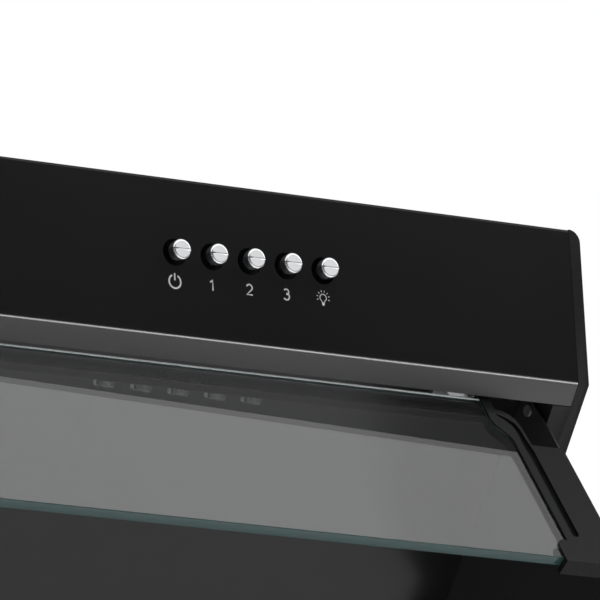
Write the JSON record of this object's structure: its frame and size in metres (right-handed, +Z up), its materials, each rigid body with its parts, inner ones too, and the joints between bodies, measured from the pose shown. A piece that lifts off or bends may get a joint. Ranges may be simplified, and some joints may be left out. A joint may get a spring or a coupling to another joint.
{
  "type": "under cabinet range hood",
  "caption": "Wide black under-cabinet range hood with a fold-out glass visor, push-button controls, blower, duct collar, grease filters and lamps.",
  "frame": {"origin": "centre of the four top fixing holes, on the top panel's upper face", "axes": "+Z up, -Y to the front, +Y to the wall, +X to the right as seen from the front"},
  "size_m": [0.6032, 0.3509, 0.232],
  "materials": {
    "black_steel": "satin black powder coat",
    "cap_plastic": "fine-textured black moulding",
    "zinc_steel": "galvanised sheet",
    "bright_steel": "bright steel",
    "visor_glass": "clear float glass with polished green edges",
    "arm_plastic": "semi-gloss black moulding",
    "rubber": "black rubber",
    "button_chrome": "turned bright chrome",
    "switch_plastic": "off-white moulding",
    "dark_plastic": "dark grey moulding",
    "motor_steel": "grey enamel",
    "filter_aluminium": "bright rolled aluminium",
    "lamp_lens": "frosted diffuser"
  },
  "bodies": {
    "casing": {"top_panel": "black_steel", "back_panel": "black_steel", "front_panel": "black_steel", "recess_panel": "black_steel", "bottom_frame": "black_steel", "left_end_cap": "cap_plastic", "right_end_cap": "cap_plastic", "left_side_plate": "zinc_steel", "right_side_plate": "zinc_steel", "switch_bracket": "zinc_steel", "blower_housing": "zinc_steel", "blower_cover": "zinc_steel", "cap_screws": "zinc_steel", "hinge_washers": "zinc_steel", "left_hinge_bracket": "bright_steel", "right_hinge_bracket": "bright_steel", "hinge_pins": "bright_steel", "damper_spindle": "bright_steel", "power_spring": "bright_steel", "speed_1_spring": "bright_steel", "speed_2_spring": "bright_steel", "speed_3_spring": "bright_steel", "light_spring": "bright_steel", "motor_bushes": "rubber", "cable_gland": "rubber", "switch_block": "switch_plastic", "terminal_box": "switch_plastic", "terminal_lid": "switch_plastic", "lamp_driver": "switch_plastic", "left_lamp_body": "switch_plastic", "right_lamp_body": "switch_plastic", "capacitor": "switch_plastic", "led_boards": "switch_plastic", "duct_collar": "dark_plastic", "wire_harness": "dark_plastic", "motor": "motor_steel", "left_lamp_lens": "lamp_lens", "right_lamp_lens": "lamp_lens"},
    "visor": {"visor_glass": "visor_glass", "left_visor_arm": "arm_plastic", "right_visor_arm": "arm_plastic", "glass_gaskets": "rubber", "left_visor_wing": "black_steel", "right_visor_wing": "black_steel", "wing_screws": "zinc_steel"},
    "rotor": {"motor_shaft": "bright_steel", "impeller": "dark_plastic"},
    "front_flap": {"front_damper_flap": "dark_plastic"},
    "rear_flap": {"rear_damper_flap": "dark_plastic"},
    "left_filter": {"left_filter_frame": "filter_aluminium", "left_filter_mesh": "filter_aluminium"},
    "right_filter": {"right_filter_frame": "filter_aluminium", "right_filter_mesh": "filter_aluminium"},
    "left_latch": {"left_filter_latch": "dark_plastic"},
    "right_latch": {"right_filter_latch": "dark_plastic"},
    "power_key": {"power_button": "button_chrome"},
    "speed_1_key": {"speed_1_button": "button_chrome"},
    "speed_2_key": {"speed_2_button": "button_chrome"},
    "speed_3_key": {"speed_3_button": "button_chrome"},
    "light_key": {"light_button": "button_chrome"}
  },
  "joints": [
    {"name": "visor_hinge", "type": "hinge", "parent": "casing", "child": "visor", "pos_m": [0, -0.135, -0.0813], "axis": [1, 0, 0], "range_deg": [0, 71]},
    {"name": "power_press", "type": "slide", "parent": "casing", "child": "power_key", "axis": [0, 1, 0], "range_m": [0, 0.003], "stiffness_N_per_m": 300, "springref_m": -0.003, "deforming": ["power_spring"]},
    {"name": "speed_1_press", "type": "slide", "parent": "casing", "child": "speed_1_key", "axis": [0, 1, 0], "range_m": [0, 0.003], "stiffness_N_per_m": 300, "springref_m": -0.003, "deforming": ["speed_1_spring"]},
    {"name": "speed_2_press", "type": "slide", "parent": "casing", "child": "speed_2_key", "axis": [0, 1, 0], "range_m": [0, 0.003], "stiffness_N_per_m": 300, "springref_m": -0.003, "deforming": ["speed_2_spring"]},
    {"name": "speed_3_press", "type": "slide", "parent": "casing", "child": "speed_3_key", "axis": [0, 1, 0], "range_m": [0, 0.003], "stiffness_N_per_m": 300, "springref_m": -0.003, "deforming": ["speed_3_spring"]},
    {"name": "light_press", "type": "slide", "parent": "casing", "child": "light_key", "axis": [0, 1, 0], "range_m": [0, 0.003], "stiffness_N_per_m": 300, "springref_m": -0.003, "deforming": ["light_spring"]},
    {"name": "impeller_spin", "type": "hinge", "parent": "casing", "child": "rotor", "pos_m": [0, 0.066, -0.094], "axis": [1, 0, 0], "continuous": true},
    {"name": "front_flap_hinge", "type": "hinge", "parent": "casing", "child": "front_flap", "pos_m": [0, 0.025, 0.014], "axis": [-1, 0, 0], "range_deg": [0, 75]},
    {"name": "rear_flap_hinge", "type": "hinge", "parent": "casing", "child": "rear_flap", "pos_m": [0, 0.025, 0.014], "axis": [1, 0, 0], "range_deg": [0, 75]},
    {"name": "left_filter_drop", "type": "hinge", "parent": "casing", "child": "left_filter", "pos_m": [0, 0.144, -0.1976], "axis": [1, 0, 0], "range_deg": [0, 35]},
    {"name": "left_latch_slide", "type": "slide", "parent": "left_filter", "child": "left_latch", "axis": [0, 1, 0], "range_m": [0, 0.005], "stiffness_N_per_m": 120, "springref_m": -0.003},
    {"name": "right_filter_drop", "type": "hinge", "parent": "casing", "child": "right_filter", "pos_m": [0, 0.144, -0.1976], "axis": [1, 0, 0], "range_deg": [0, 35]},
    {"name": "right_latch_slide", "type": "slide", "parent": "right_filter", "child": "right_latch", "axis": [0, 1, 0], "range_m": [0, 0.005], "stiffness_N_per_m": 120, "springref_m": -0.003}
  ]
}
